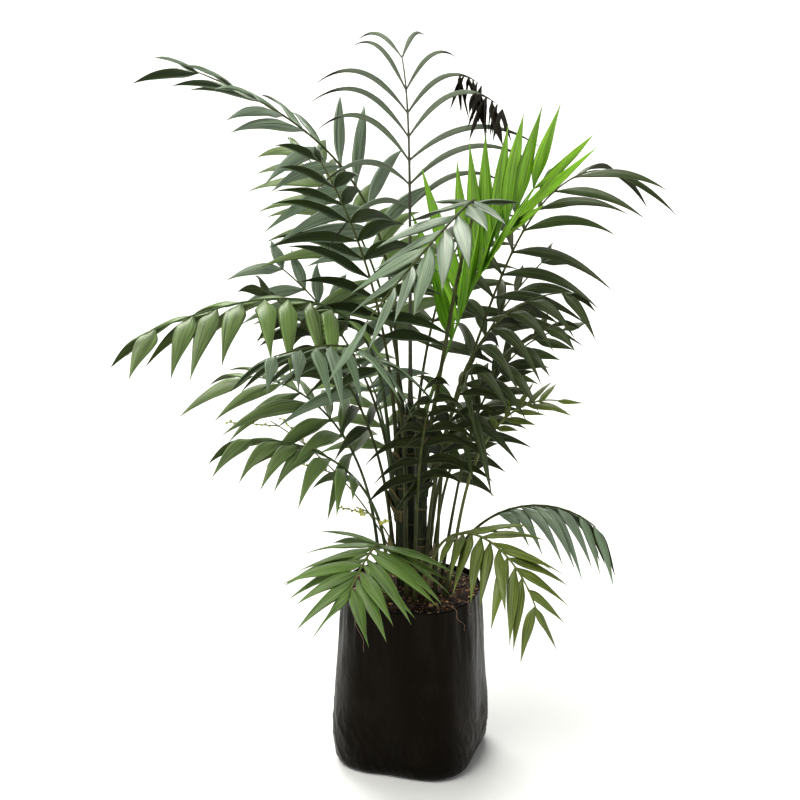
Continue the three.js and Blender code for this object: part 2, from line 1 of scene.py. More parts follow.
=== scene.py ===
"""A parlour palm in a black film grow bag, finished around its packed solids.

Lengths are millimetres until a piece is made, then metres. The frame is the solids' own: +Z up, the
origin at the centre of the bag's flat base, the front facing -Y.
"""
import math
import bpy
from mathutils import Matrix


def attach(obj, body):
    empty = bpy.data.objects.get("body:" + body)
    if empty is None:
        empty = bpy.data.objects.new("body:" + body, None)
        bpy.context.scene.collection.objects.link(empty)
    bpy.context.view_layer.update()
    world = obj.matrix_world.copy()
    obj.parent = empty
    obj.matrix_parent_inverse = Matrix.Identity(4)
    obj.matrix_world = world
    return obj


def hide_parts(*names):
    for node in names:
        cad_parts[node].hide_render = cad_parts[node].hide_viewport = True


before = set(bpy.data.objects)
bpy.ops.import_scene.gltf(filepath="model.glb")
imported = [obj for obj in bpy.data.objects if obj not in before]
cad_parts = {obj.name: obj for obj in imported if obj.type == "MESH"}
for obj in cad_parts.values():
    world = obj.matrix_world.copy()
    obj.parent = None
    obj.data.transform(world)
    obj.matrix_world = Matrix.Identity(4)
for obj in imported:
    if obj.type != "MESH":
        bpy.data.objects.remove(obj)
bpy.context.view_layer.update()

from types import SimpleNamespace as Group

import bmesh
import bpy
import numpy as np
from mathutils import Vector, kdtree, noise

MM = 0.001
EAST, NORTH, UP = np.eye(3)

# ---------------- driving dimensions, as in the solids
GAP = 0.3
BURIED = 45
RIM = 232

BAG = Group(
    outline=((0, 88), (5, 95), (16, 99), (44, 100.5), (95, 98.5), (142, 96), (190, 93.5), (225, 91.5),
             (232, 91)),
    corner_at=28, squareness=0.09, crease=1.4,
)
SOIL = Group(edge=226, mound=7, inset=1.3)

CANE = Group(scar_step=40, scar_swell=0.9, taper=0.18, sway=1.6, sway_length=90)
CANES = {
    "cane_left": Group(x=-12, y=-4, height=448, radius=8),
    "cane_right": Group(x=14, y=-8, height=462, radius=8.5),
    "cane_back": Group(x=0, y=16, height=472, radius=8),
}
STEM = Group(base_half=2.6, blade_half=1.6, tip_half=0.8, steps=60)
BLADE = Group(
    seat=4.2, shoulder=0.3, spread_base=66, spread_tip=27, spread_jitter=18, fold_jitter=24,
    size_jitter=0.24, first_size=0.8, longest_at=0.35,
)
# What a frond's row says after its name. The terms and the order of the rows are the solids'.
FROND = "az length start end bow bare pairs leaf width tip droop roll fold tone".split()


def entry(name, *values, **others):
    """A frond's row; `others` are where it grows and what only some fronds have."""
    return dict(zip(FROND, values), name="frond_" + name, **others)


FRONDS = [
    entry("high_left", 190, 547, 3, 68, 3.8, 0.38, 11, 150, 19, 0.56, 0.32, -78, 0, "silver",
          on="cane_left", knee=0.64, spread=1.1, roll_end=32),
    entry("left_arch", 211, 512, 5, 104, 4.2, 0.46, 9, 112, 26, 0.5, 0.6, 0, -4, "mid",
          on="cane_left", z=360, knee=0.52, spread=1.35),
    entry("high_right", 15, 474, 19, 109, 5.4, 0.42, 9, 148, 14, 0.6, 0.5, 50, 4, "dark",
          on="cane_right", z=382, roll_end=0),
    entry("young", 351, 322, 19, 37, 4, 0.3, 10, 182, 21, 0.62, 0.02, 15, 46, "young",
          on="cane_right", knee=0.8, spread=0.72, roll_end=85),
    entry("right_hanging", 352, 470, 2, 90, 3.3, 0.58, 7, 90, 15, 0.55, 0.8, 20, -6, "dark",
          soil=(30, -26)),
    entry("silver_front", 310, 629, 14, 144, 4.6, 0.58, 9, 100, 20, 0.7, 0.15, 0, 4, "silver",
          on="cane_right", z=434, turn=-127, knee=0.65, spread=0.36),
    entry("top", 101, 440, 1, 52, 6, 0.54, 7, 218, 7.5, 0.5, 0.66, 0, 40, "dark",
          on="cane_back", spread=0.95),
    entry("low_left", 174, 362, 4, 90, 2.1, 0.5, 7, 140, 21, 0.62, 0.45, -10, 0, "mid",
          soil=(-38, -6), spread=1.1),
    entry("lowest_left", 200, 325, 1, 84, 2.2, 0.5, 7, 98, 20, 0.6, 0.7, 0, 0, "mid",
          soil=(-30, -28), knee=0.8, spread=0.9),
    entry("right_upright", 8, 400, 9, 88, 3.6, 0.38, 10, 70, 15, 0.6, 0.2, 40, 0, "dark",
          soil=(37, 8), spread=0.6),
    entry("right_small", 358, 325, 8, 104, 3.4, 0.7, 6, 56, 10, 0.7, 0.15, 30, 6, "olive",
          soil=(46, -14), spread=0.8),
    entry("skirt_left", 246, 186, 2, 120, 6, 0.4, 10, 106, 20, 0.74, 0.3, -6, 4, "bright",
          soil=(-30, -42), knee=0.48, spread=1.5),
    entry("skirt_front", 316, 282, 2, 154, 2.1, 0.4, 11, 92, 16, 0.56, 0.36, 12, 0, "olive",
          soil=(20, -46), knee=0.66, spread=1.1),
    entry("skirt_right", 352, 272, 4, 132, 1.2, 0.5, 9, 72, 13, 0.6, 1, 0, -10, "silver",
          soil=(42, -28)),
    entry("inner_left", 240, 440, 3, 44, 1, 0.36, 10, 125, 18, 0.55, 0.42, 0, 4, "silver",
          on="cane_left", z=408, spread=1.1),
    entry("left_glossy", 232, 531, 1, 91, 6, 0.6, 8, 92, 21, 0.55, 0.6, 0, -6, "silver",
          soil=(-6, -36), knee=0.63, spread=1.25),
    entry("back_left", 160, 340, 4, 56, 1.2, 0.34, 9, 120, 18, 0.55, 0.45, -40, 4, "silver",
          on="cane_left", z=348, spread=1.1),
    entry("mid_left", 186, 380, 4, 52, 1.3, 0.4, 8, 112, 17, 0.5, 0.45, -20, 0, "dark",
          on="cane_left", z=288),
    entry("mid_right", 26, 390, 5, 52, 1.3, 0.4, 7, 108, 16, 0.5, 0.5, 25, 0, "dark",
          on="cane_right", z=302),
    entry("centre_front", 286, 330, 1, 40, 1.8, 0.5, 7, 84, 15, 0.5, 0.8, 0, 0, "dark", soil=(4, -48)),
    entry("inner_right", 303, 310, 4, 38, 1.5, 0.4, 8, 92, 15, 0.6, 0.7, 0, 0, "dark",
          on="cane_right", z=250),
    entry("right_arching", 345, 350, 5, 60, 1.6, 0.46, 6, 100, 17, 0.55, 0.7, 20, 0, "dark",
          on="cane_right", z=282),
    entry("back_high", 132, 430, 4, 66, 1.3, 0.34, 10, 145, 18, 0.5, 0.45, -20, 4, "mid",
          on="cane_back", z=418),
    entry("back_right", 66, 420, 6, 78, 1.3, 0.38, 8, 135, 17, 0.5, 0.45, 0, 2, "dark",
          on="cane_back", z=372),
    entry("back_low", 108, 390, 6, 95, 1.4, 0.42, 8, 118, 17, 0.5, 0.5, 0, 0, "mid", soil=(-14, 42)),
    entry("back_low_right", 50, 310, 4, 74, 1.4, 0.42, 7, 96, 17, 0.5, 0.5, 0, 0, "dark",
          soil=(28, 34)),
]
SWINGS = (0, 9, -9, 18, -18, 27, -27)
SHORTENINGS = (1, 0.8, 0.6)
SAME_POINT = 0.2          # a leaflet's tip this near to a vertex of the solid is that leaflet's

FLOWER = Group(stalk=1.0, twig=0.8, twigs=3, first_twig=0.55, last_twig=0.95, twig_share=0.3,
               aside=0.75, sink=0.25, bead=2.1, beads=4)
FLOWERS = [
    dict(name="flower_spray_outer", on="cane_left", z=268, az=168, length=245, start=24, end=62),
    dict(name="flower_spray_inner", on="cane_left", z=268, az=236, length=140, start=18, end=66),
]

# The photograph's camera: 2 m in front, a little to the left, 1.055 m up, looking 16 degrees down.
CAMERA = Group(place=(-14.5, -2000, 1055), pitch=16, focal_px=1660, frame_px=800, sensor_mm=36)

# ---------------- finer detail than the solids'
CANE_SKIN = Group(sides=32, rise=1.6, scar_fade=2.2, bumps=0.25, bump_size=14)
PETIOLE = STEM.base_half * 1.5         # radius of a petiole's swollen foot
STALK = Group(sides=12, rows=110, plump=1.12, collar=1.5, collar_fade=14, knot=0.4, knot_fade=2.6,
              channel_width=0.55, petiole_channel=0.24, rachis_channel=0.12, last=0.985, last_size=0.7)
ROWS, COLUMNS = 18, 11                 # along and across each leaflet
PLEATS = 2.5                           # pleats on each half of a leaflet
LEAFLET = Group(foot_half=1.3, outline=1.25, twist=74, curve=0.07, foot_arch=0.75, arch=0.2,
                arch_spread=0.16, pleat=0.075, ripple=0.1, ripples=2.2, half_thick=0.22, keel=0.32,
                keel_half=0.08)
# The top frond's withered ends, on right-hand leaflets whose tips lie between `low` and `high`.
RAGS = {"low": 835, "high": 880, "strips": 13, "from": 0.72, "to": 1.0, "length": 60, "width": 15,
        "lean": 0.7}
SHEATH = Group(sides=36, rows=14, film=0.5, reach=24, top_reach=30, torn=3, back=-9, front=13,
               frayed=1.5, room=1.5, opening=0.62, bumps=0.35, layer=0.6, near=45)
vars(FLOWER).update(sides=8, stalk_rows=40, twig_rows=16, sway=0.8, sway_turns=9, bud_rows=6,
                    bud_lumps=0.08, bud_turn=2.4)
FILM = Group(thick=0.5, sectors=216, foot=(0, 1.2, 2.6, 4.5, 7, 10), wall_from=14, wall_rows=84,
             soften=9, fold=1.6, crumple=1.5, slack=0.8, rim_wave=2.2, rim_curl=2.4)
MIX = Group(sectors=180, rings=46, levels=(1.3, 6, 18, 44, 95, 142, 190, 215, 223), side_gap=0.8,
            top_gap=0.6, mound_radius=90, bumps=((2.6, 16, 4), (1.3, 6, 8), (0.7, 2.6, 1)))
CHIP = Group(reach=86, lift=0.12, tilt=0.9, corners=6, layers=((-0.12, 0.8), (0.0, 1.0), (0.1, 0.86)))
FIBRE = Group(count=90, reach=80, shortest=9, longest=26, radius=0.32, steps=8, sides=6)
# Roots over the rim: compass angles at the rim and at the end, the end's height, and the radius.
ROOTS = ((219, 233, 172, 0.42), (303, 316, 198, 0.34), (318, 324, 206, 0.3))
ROOT_STEPS = 24

FLOOR_HALF = 40.0                      # metres
# The sky's strength near the horizon, what it loses higher up, and between which heights (0 to 1).
SKY = Group(horizon=0.94, loss=0.74, low=0.26, high=0.42)
# Each sun's name, side, strength, softness in degrees and tint.
SUNS = (("key", (-0.55, -0.45, 1.5), 2.7, 40, (1.0, 0.99, 0.94)),
        ("back", (-0.2, 0.95, 1.25), 2.6, 36, (1.0, 1.0, 0.96)))


# ---------------- helpers
def draw(seed):
    """A repeatable number from 0 to 1 for each seed, the solids' own."""
    value = math.sin(seed * 12.9898) * 43758.5453
    return value - math.floor(value)


def mix(a, b, share):
    return a + (b - a) * share


def smooth(low, high, value):
    share = np.clip((value - low) / (high - low), 0, 1)
    return share * share * (3 - 2 * share)


def unit(vector):
    return vector / np.linalg.norm(vector, axis=-1, keepdims=True)


def compass(degrees):
    angle = math.radians(degrees)
    return np.array([math.cos(angle), math.sin(angle), 0.0])


def rough(x, y, z):
    """Smooth noise from -1 to 1."""
    return noise.noise(Vector((x, y, z)))


def placed(name, data):
    """A new object in the scene."""
    made = bpy.data.objects.new(name, data)
    bpy.context.scene.collection.objects.link(made)
    return made


class Skin:
    """What one piece is made of: points in mm, faces, and each point's marks and underside share."""

    def __init__(self):
        self.points, self.marks, self.unders, self.faces, self.finishes = [], [], [], [], []
        self.count = 0

    def add(self, points, faces, marks, under=0.0, finish=0):
        points = np.asarray(points, float).reshape(-1, 3)
        self.points.append(points)
        self.marks.append(np.broadcast_to(np.asarray(marks, float), points.shape))
        self.unders.append(np.broadcast_to(np.asarray(under, float), len(points)))
        self.faces += [tuple(index + self.count for index in face) for face in faces]
        self.finishes += [finish] * len(faces)
        self.count += len(points)

    def loft(self, rings, marks=(0, 0, 0), finish=0):
        """A closed skin over rings of equal size, each seen anticlockwise from the end."""
        rings = np.asarray(rings, float)
        rows, size = rings.shape[:2]
        faces = [(r * size + k, r * size + (k + 1) % size, (r + 1) * size + (k + 1) % size,
                  (r + 1) * size + k) for r in range(rows - 1) for k in range(size)]
        faces.append(tuple(reversed(range(size))))
        faces.append(tuple(range((rows - 1) * size, rows * size)))
        if np.ndim(marks) == 3:
            marks = np.reshape(marks, (-1, 3))
        self.add(rings, faces, marks, finish=finish)

    def piece(self, name, materials, slot, *nodes, flat=False):
        """Make the object: smooth or flat-faced, facing out, riding on the part's one body."""
        mesh = bpy.data.meshes.new(name)
        mesh.from_pydata((np.concatenate(self.points) * MM).tolist(), [], self.faces)
        for material in materials:
            mesh.materials.append(material)
        mesh.polygons.foreach_set("material_index", self.finishes)
        mesh.polygons.foreach_set("use_smooth", [not flat] * len(self.faces))
        mark = mesh.attributes.new("mark", "FLOAT_VECTOR", "POINT")
        mark.data.foreach_set("vector", np.concatenate(self.marks).astype(np.float32).ravel())
        under = mesh.attributes.new("under", "FLOAT", "POINT")
        under.data.foreach_set("value", np.concatenate(self.unders).astype(np.float32))
        work = bmesh.new()
        work.from_mesh(mesh)
        bmesh.ops.recalc_face_normals(work, faces=work.faces)
        work.to_mesh(mesh)
        work.free()
        made = placed(name, mesh)
        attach(made, "root")
        if nodes:
            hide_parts(*nodes)


def circle(sides):
    return np.arange(sides) * 2 * math.pi / sides


def ring(centre, first, second, radii, sides):
    """Points round a centre; `radii` is one number or one for each point."""
    angles = circle(sides)
    return centre + np.outer(np.cos(angles) * radii, first) + np.outer(np.sin(angles) * radii, second)


# ---------------- material helpers
class Shading:
    """`tree` is the node tree that the helpers below add to; `material` and `make_sky` set it."""
    tree = None


def node(kind, inputs=None, **settings):
    made = Shading.tree.nodes.new("ShaderNode" + kind)
    for key, value in settings.items():
        setattr(made, key, value)
    for key, value in (inputs or {}).items():
        if isinstance(value, bpy.types.NodeSocket):
            Shading.tree.links.new(value, made.inputs[key])
        else:
            made.inputs[key].default_value = value
    return made


def calc(operation, a, b=0.0):
    return node("Math", {0: a, 1: b}, operation=operation).outputs[0]


def plus(a, b):
    return calc("ADD", a, b)


def less(a, b):
    return calc("SUBTRACT", a, b)


def times(a, b):
    return calc("MULTIPLY", a, b)


def step(value, low, high):
    """0 below `low`, 1 above `high`, smooth between."""
    return node("MapRange", {"Value": value, "From Min": low, "From Max": high},
                interpolation_type="SMOOTHSTEP").outputs[0]


def colour(*rgb):
    """A screen colour as the shader's linear one."""
    return (*(c / 255 / 12.92 if c <= 10 else ((c / 255 + 0.055) / 1.055) ** 2.4 for c in rgb), 1.0)


def blend(share, a, b):
    """From `a` to `b`, each a screen colour or the colour that a node gives."""
    a, b = (colour(*shade) if isinstance(shade, tuple) else shade for shade in (a, b))
    return node("Mix", {0: share, 6: a, 7: b}, data_type="RGBA").outputs[2]


def tinted(base, shade, where, share):
    """`base` with `shade` over it: that share of it where `where` is 1."""
    return blend(times(where, share), base, shade)


def grain(scale, stretch=(1, 1, 1), detail=3.0, roughness=0.5, distortion=0.0):
    """Noise in the part's own frame, per metre, drawn out along an axis whose stretch is under 1."""
    place = node("TexCoord").outputs["Object"]
    sized = node("Mapping", {"Vector": place, "Scale": stretch}).outputs[0]
    return node("TexNoise", {"Vector": sized, "Scale": scale, "Detail": detail,
                             "Roughness": roughness, "Distortion": distortion}).outputs[0]


def bump(height, strength, distance_mm):
    return node("Bump", {"Height": height, "Strength": strength,
                         "Distance": distance_mm * MM}).outputs[0]


def material(name, **fixed):
    """A new material; `fixed` are the shader's values that are the same all over."""
    made = bpy.data.materials.new(name)
    made.use_nodes = True
    Shading.tree = made.node_tree
    for key, value in fixed.items():
        Shading.tree.nodes["Principled BSDF"].inputs[key.replace("_", " ")].default_value = value
    return made


def dressed(made, **varying):
    """The material with those inputs of its shader linked."""
    tree = made.node_tree
    for key, value in varying.items():
        tree.links.new(value, tree.nodes["Principled BSDF"].inputs[key.replace("_", " ")])
    return made


def worn(made, base, texture, slope, least, strength, distance_mm):
    """The material with a colour, and one texture for both its roughness and its relief."""
    return dressed(made, Base_Color=base, Roughness=plus(times(texture, slope), least),
                   Normal=bump(texture, strength, distance_mm))


def marks():
    """The three marks of a point and its underside share."""
    mark = node("Attribute", attribute_name="mark").outputs["Vector"]
    parts = node("SeparateXYZ", {0: mark}).outputs
    under = node("Attribute", attribute_name="under").outputs["Fac"]
    return parts[0], parts[1], parts[2], under


# ---------------- materials
def lengthwise(first, along, third, length, detail):
    """Noise drawn out along a leaflet; `length` is how many of its grains fit along it."""
    place = node("CombineXYZ", {0: first, 1: times(along, length), 2: third}).outputs[0]
    return node("TexNoise", {"Vector": place, "Scale": 1.0, "Detail": detail}).outputs[0]


def leaf_material(name, colours, bloom_and_sheen_share, gloss, roughness, wilt=None):
    """A waxy pleated leaflet: marks are across (-1 to 1), along (0 to 1) and the leaflet's own draw.

    `wilt` is the share of its length beyond which a leaflet has withered dark."""
    deep, light, fresh, below, bloom_and_sheen = colours
    made = material(name, Specular_Tint=(0.94, 1.0, 0.82, 1.0))
    across, along, own, under = marks()
    shift = times(own, 40.0)
    streaks = lengthwise(plus(times(across, 5.0), shift), along, shift, 2.4, 4.0)
    base = blend(step(streaks, 0.3, 0.7), deep, light)
    base = tinted(base, light, own, 0.35)
    # Painted shade: the furrows between the pleats are darkened towards the deep colour.
    wave = calc("COSINE", times(across, 2 * math.pi * PLEATS))
    base = tinted(base, deep, step(wave, 0.1, -1.0), 0.3)
    foot = step(along, 0.22, 0.0)
    base = tinted(base, deep, foot, 0.5)
    base = tinted(base, fresh, step(own, 0.62, 0.95), 0.5)
    # Painted sheen: the bloom colour is streaked over the top faces only, since the underside colour
    # replaces it below. It is partly the leaf's waxy bloom and partly painted sky reflection.
    bloom_and_sheen_noise = lengthwise(plus(times(across, 9.0), shift), along, own, 1.3, 5.0)
    base = tinted(base, bloom_and_sheen, step(bloom_and_sheen_noise, 0.2, 0.75), bloom_and_sheen_share)
    aside = calc("ABSOLUTE", across)
    rib, margin = step(aside, 0.09, 0.03), step(aside, 0.84, 1.0)
    base = tinted(base, (118, 132, 76), rib, 0.3)
    base = tinted(base, (118, 136, 58), margin, 0.18)
    back = blend(step(streaks, 0.35, 0.65), below, deep)
    base = blend(under, base, back)
    dry = times(step(along, 0.955, 0.995), step(own, 0.35, 0.6))
    base = blend(dry, base, (112, 88, 52))
    if wilt:
        edge = plus(along, times(less(streaks, 0.5), 0.3))
        base = blend(step(edge, wilt, wilt + 0.12), base, (30, 24, 18))
    shine = times(less(1.0, times(under, 0.7)), gloss)
    dull = plus(times(streaks, 0.2), times(under, 0.12))
    veins = calc("SINE", times(across, 58.0))
    relief = plus(times(veins, 0.35), grain(900, detail=2))
    return dressed(made, Base_Color=base, Specular_IOR_Level=shine,
                   Roughness=plus(dull, roughness - 0.1), Normal=bump(relief, 0.35, 0.16))


def stem_material(name, low, high, freckle):
    """Petiole and rachis: marks are round, along and the frond's own draw."""
    made = material(name, Specular_IOR_Level=0.14)
    _, along, _, _ = marks()
    streaks = grain(320, stretch=(1, 1, 0.08), detail=3)
    base = blend(along, low, high)
    base = tinted(base, freckle, step(streaks, 0.42, 0.68), 0.5)
    return worn(made, base, streaks, 0.3, 0.28, 0.4, 0.3)


def film_material():
    """Thin black polythene: softly crinkled, with patches of dust and a few pale specks."""
    made = material("film", Specular_IOR_Level=0.06, Specular_Tint=(1.0, 0.82, 0.66, 1.0))
    dust = step(grain(16, stretch=(1, 1, 0.45), detail=6, roughness=0.62), 0.5, 0.78)
    base = tinted((5, 4, 2), (46, 36, 27), dust, 0.35)
    place = node("TexCoord").outputs["Object"]
    cells = node("TexVoronoi", {"Vector": place, "Scale": 46.0, "Randomness": 1.0})
    picked = node("SeparateColor", {0: cells.outputs["Color"]}).outputs[0]
    speck = times(step(cells.outputs["Distance"], 0.085, 0.04), step(picked, 0.9, 0.92))
    base = tinted(base, (150, 140, 122), speck, 0.75)
    scuff = grain(55, stretch=(1, 1, 0.4), detail=5, roughness=0.6)
    dull = plus(times(scuff, 0.28), times(dust, 0.18))
    crinkle = grain(85, stretch=(1, 1, 0.5), detail=4, roughness=0.55, distortion=0.6)
    fine = grain(420, stretch=(1, 1, 0.6), detail=2)
    relief = plus(crinkle, times(fine, 0.16))
    return dressed(made, Base_Color=base, Roughness=plus(dull, 0.2),
                   Normal=bump(relief, 0.5, 2.0))


def mix_material():
    """Dark moist potting mix."""
    made = material("potting_mix", Specular_IOR_Level=0.35)
    crumbs = grain(240, detail=6, roughness=0.7)
    base = blend(step(crumbs, 0.36, 0.7), (20, 14, 9), (58, 38, 24))
    return worn(made, base, crumbs, 0.3, 0.62, 0.9, 2.5)


def chip_material(name, stops, roughness):
    """Bark, husk and fibre: the third mark is the chip's own draw, which picks its colour."""
    made = material(name, Specular_IOR_Level=0.3)
    _, _, own, _ = marks()
    ramp = node("ValToRGB", {0: own})
    points = ramp.color_ramp.elements
    for spare in range(len(stops) - 2):
        points.new(0.5 + spare * 0.01)
    for point, (place, shade) in zip(points, stops):
        point.position, point.color = place, colour(*shade)
    fleck = grain(700, stretch=(1, 0.4, 1), detail=3)
    base = tinted(ramp.outputs[0], (58, 34, 20), step(fleck, 0.5, 0.75), 0.45)
    return worn(made, base, fleck, 0.25, roughness, 0.6, 0.5)


def cane_material():
    """Green cane: marks are round, the nearness to a leaf scar, and height."""
    made = material("cane", Specular_IOR_Level=0.12)
    _, scar, height, _ = marks()
    streaks = grain(260, stretch=(1, 1, 0.06), detail=4)
    base = blend(step(streaks, 0.35, 0.68), (24, 30, 16), (46, 54, 28))
    patches = step(grain(60, detail=4), 0.5, 0.7)
    base = tinted(base, (64, 56, 36), patches, less(1.0, height))
    base = blend(step(scar, 0.6, 0.95), base, (84, 78, 54))
    return worn(made, base, streaks, 0.3, 0.35, 0.5, 0.5)


def sheath_material():
    """Fibrous leaf sheaths, green on young fronds and straw-coloured on old ones: third mark is age."""
    made = material("sheath", Specular_IOR_Level=0.12)
    _, along, age, _ = marks()
    fibres = grain(420, stretch=(1, 1, 0.05), detail=4, roughness=0.6)
    green = blend(step(fibres, 0.35, 0.68), (24, 30, 16), (52, 60, 32))
    straw = blend(step(fibres, 0.35, 0.7), (74, 58, 36), (168, 146, 104))
    base = blend(step(age, 0.45, 0.75), green, straw)
    base = tinted(base, (122, 104, 68), step(along, 0.8, 1.0), 0.6)
    return worn(made, base, fibres, 0.3, 0.42, 0.7, 0.6)


def bead_material():
    """Flower buds, from green to ripe yellow by their own draw."""
    made = material("flower_bead", Specular_IOR_Level=0.4, Subsurface_Weight=0.1,
                    Subsurface_Scale=0.002)
    _, _, own, _ = marks()
    base = blend(own, (136, 150, 62), (206, 204, 104))
    base = tinted(base, (150, 140, 62), step(grain(600), 0.52, 0.7), 0.4)
    return dressed(made, Base_Color=base, Roughness=plus(times(grain(400), 0.3), 0.4))


def floor_material():
    made = material("floor", Roughness=0.85, Specular_IOR_Level=0.2)
    base = blend(grain(3, detail=2), (246, 246, 245), (251, 251, 250))
    return dressed(made, Base_Color=base)


# Each tone's deep, light, fresh, underside and bloom colours (waxy bloom and painted sky sheen), share
# of that bloom, gloss and roughness.
LEAF_TONES = {
    "dark": (((11, 17, 4), (46, 58, 20), (48, 72, 16), (32, 40, 8), (112, 126, 92)), 0.2, 0.32, 0.38),
    "mid": (((26, 42, 9), (90, 119, 50), (86, 122, 32), (52, 66, 12), (168, 187, 134)),
            0.34, 0.5, 0.34),
    "silver": (((17, 30, 11), (70, 92, 54), (56, 88, 26), (34, 46, 10), (170, 190, 168)),
               0.52, 0.5, 0.34),
    "bright": (((34, 58, 14), (96, 132, 52), (96, 134, 42), (60, 76, 16), (146, 170, 104)),
               0.28, 0.44, 0.36),
    "olive": (((42, 56, 10), (108, 126, 44), (104, 128, 38), (60, 70, 12), (140, 152, 84)),
              0.25, 0.4, 0.38),
    "young": (((44, 84, 6), (136, 194, 40), (120, 192, 28), (98, 154, 18), (170, 216, 80)),
              0.2, 0.4, 0.38),
}
# Each stem's colours at its foot and its tip, and of its streaks.
STEM_TONES = {
    "dark": ((42, 44, 18), (58, 66, 28), (86, 92, 48)),
    "mid": ((36, 44, 22), (66, 88, 46), (92, 106, 66)),
    "bright": ((70, 72, 36), (110, 124, 66), (96, 78, 44)),
    "young": ((66, 92, 38), (118, 172, 52), (90, 130, 50)),
    "top": ((66, 66, 52), (98, 98, 86), (58, 54, 42)),
}
STEM_OF = {"silver": "dark", "olive": "bright"}     # other tones have a stem of their own name
LEAVES = {tone: leaf_material("leaf_" + tone, *recipe) for tone, recipe in LEAF_TONES.items()}
WILTED = leaf_material("leaf_wilted", ((56, 66, 48), (104, 118, 94), (84, 98, 66), (78, 84, 64),
                                       (156, 166, 150)), 0.4, 0.3, 0.5, wilt=0.66)
STEMS = {tone: stem_material("stem_" + tone, *colours) for tone, colours in STEM_TONES.items()}


# ---------------- canes
def cane_centre(cane, z):
    sway = CANE.sway * math.sin(z / CANE.sway_length + cane.x)
    return np.array([cane.x + sway, cane.y + sway / 2, z])


def plain_radius(cane, z):
    """A cane's radius between its leaf scars."""
    return cane.radius * (1 - CANE.taper * z / cane.height)


def cane_radius(cane, z):
    """The solids' radius at the nearest scar or half-way ring."""
    from_top = round((cane.height - z) / (CANE.scar_step / 2))
    return plain_radius(cane, z) + (CANE.scar_swell if from_top % 2 == 0 else 0)


def near_scar(cane, z):
    """1 at a leaf scar, falling to 0 within a few millimetres of it."""
    apart = (cane.height - z) % CANE.scar_step
    apart = min(apart, CANE.scar_step - apart)
    return math.exp(-(apart / CANE_SKIN.scar_fade) ** 2)


def make_cane(name, cane, finish):
    sides = CANE_SKIN.sides
    rings, notes = [], []
    z = SOIL.edge - BURIED
    while z < cane.height:
        scar = near_scar(cane, z)
        plain = plain_radius(cane, z)
        level = (z + 0.35 * cane.radius) / CANE_SKIN.bump_size
        radii = np.array([plain + scar * CANE.scar_swell + CANE_SKIN.bumps
                          * rough(math.cos(a) * 2, math.sin(a) * 2 + cane.x, level)
                          for a in circle(sides)])
        rings.append(ring(cane_centre(cane, z), EAST, NORTH, radii, sides))
        notes.append([[k / sides, scar, min(1, z / cane.height)] for k in range(sides)])
        z += CANE_SKIN.rise
    skin = Skin()
    skin.loft(rings, notes)
    skin.piece(name + "_ringed", [finish], "cane", name)


# ---------------- stems
def root_point(item, half):
    if "soil" in item:
        return np.array([item["soil"][0], item["soil"][1], SOIL.edge], float)
    cane = CANES[item["on"]]
    if "z" not in item:
        clear = GAP + half * math.sin(math.radians(item["start"]))
        return cane_centre(cane, cane.height) + UP * clear
    clear = cane_radius(cane, item["z"]) + GAP + half
    return cane_centre(cane, item["z"]) + compass(item["az"]) * clear


def bend_at(item, u):
    """The share of its whole bend that a stem has made at `u`: even, or mostly round its knee."""
    made = u ** item.get("bow", 1)
    if "knee" not in item:
        return made
    knee = item["knee"] ** item["bow"]
    return made * (1 + knee) / (made + knee)


def stem_path(item, root):
    """Points and their own axes along a stem: (steps, [point, along, side, over], 3)."""
    path, point = [], root.copy()
    for i in range(STEM.steps + 1):
        u = i / STEM.steps
        lean = math.radians(mix(item["start"], item["end"], bend_at(item, u)))
        out = compass(item["az"] + item.get("turn", 0) * u * u)
        along = out * math.sin(lean) + UP * math.cos(lean)
        side = np.cross(UP, out)
        path.append((point.copy(), along, side, np.cross(along, side)))
        point += along * item["length"] / STEM.steps
    return np.array(path)


def path_at(path, u):
    place = u * (len(path) - 1)
    low = min(int(place), len(path) - 2)
    point, along, side, over = mix(path[low], path[low + 1], place - low)
    return point, unit(along), unit(side), unit(over)


def stem_half(frond, u):
    if u < frond["bare"]:
        return mix(STEM.base_half, STEM.blade_half, u / frond["bare"])
    return mix(STEM.blade_half, STEM.tip_half, (u - frond["bare"]) / (1 - frond["bare"]))


def add_stem(skin, frond, path, seats, own):
    """Round petiole and rachis with a channel on top, swollen where leaflets sit."""
    sides, rows, length = STALK.sides, STALK.rows, frond["length"]
    angles = circle(sides)
    channel = np.exp(-((angles - math.pi / 2) / STALK.channel_width) ** 2)
    rings, notes = [], []
    if "soil" in frond:
        point, along, side, over = path_at(path, 0)
        rings.append(ring(point - along * BURIED / 3, side, over, PETIOLE, sides))
        notes.append([[a / (2 * math.pi), 0, own] for a in angles])
    for row in range(rows + 1):
        u = row / rows
        point, along, side, over = path_at(path, u)
        radius = STALK.plump * stem_half(frond, u)
        radius += STALK.collar * math.exp(-u * length / STALK.collar_fade)
        radius += STALK.knot * sum(math.exp(-((u - seat) * length / STALK.knot_fade) ** 2)
                                   for seat in seats)
        radius *= 1 if u < STALK.last else STALK.last_size
        depth = STALK.petiole_channel if u < frond["bare"] else STALK.rachis_channel
        rings.append(ring(point, side, over, radius * (1 - depth * channel), sides))
        notes.append([[a / (2 * math.pi), u, own] for a in angles])
    skin.loft(rings, notes, finish=1)


